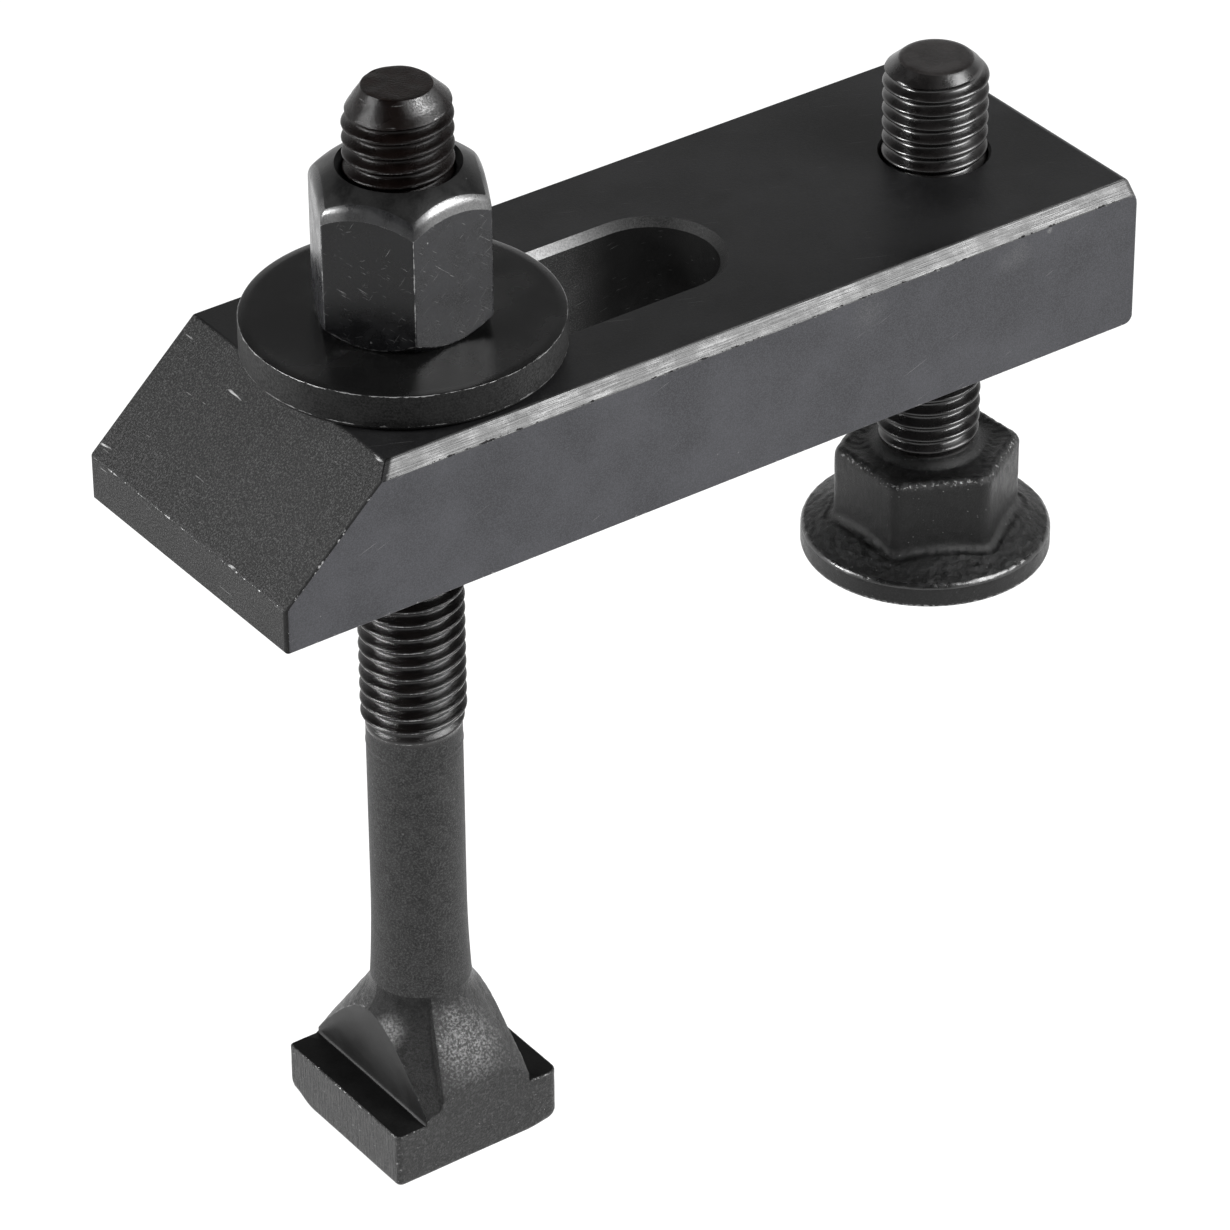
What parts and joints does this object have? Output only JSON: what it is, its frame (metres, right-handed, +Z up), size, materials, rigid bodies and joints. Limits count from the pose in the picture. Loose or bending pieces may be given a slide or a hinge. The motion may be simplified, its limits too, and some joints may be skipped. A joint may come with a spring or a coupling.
{
  "type": "adjustable strap clamp",
  "caption": "T-slot strap clamp: slotted bar with a bevelled nose, held by a T-slot bolt, washer and tall nut, its rear on a height-setting screw with a flanged foot.",
  "frame": {"origin": "centre of the T-shaped bolt head's underside, on the bolt's axis", "axes": "+Z up along the clamping bolt, +X along the strap from the bolt towards the support screw, +Y across the strap, along the table's T-slot"},
  "size_m": [0.1137, 0.038, 0.133],
  "materials": {
    "strap_steel": "blackened bar steel, satin, with one bright ground edge",
    "bolt_steel": "blackened forged steel, oily thread, machined neck walls",
    "washer_steel": "blackened turned steel, satin",
    "nut_steel": "blackened steel, satin faces, bright worn corners",
    "screw_steel": "blackened forged steel, grainy foot, glossy thread"
  },
  "bodies": {
    "t_bolt": {"t_bolt": "bolt_steel"},
    "washer": {"washer": "washer_steel"},
    "hex_nut": {"hex_nut": "nut_steel"},
    "strap": {"strap": "strap_steel"},
    "support_screw": {"support_screw": "screw_steel"}
  },
  "joints": [
    {"name": "clamp_lift", "type": "slide", "parent": "t_bolt", "child": "washer", "axis": [0, 0, 1], "range_m": [-0.051, 0.009]},
    {"name": "nut_turn", "type": "hinge", "parent": "washer", "child": "hex_nut", "pos_m": [0, 0, 0.1147], "axis": [0, 0, 1], "range_deg": [-10492, 1852]},
    {"name": "slot_slide", "type": "slide", "parent": "washer", "child": "strap", "axis": [1, 0, 0], "range_m": [-0.0336, 0.0022]},
    {"name": "support_height", "type": "slide", "parent": "strap", "child": "support_screw", "axis": [0, 0, 1], "range_m": [-0.0118, 0.019]}
  ],
  "couplings": [
    {"joint": "nut_turn", "follows": "clamp_lift", "rad_per_m": 3590.4}
  ]
}
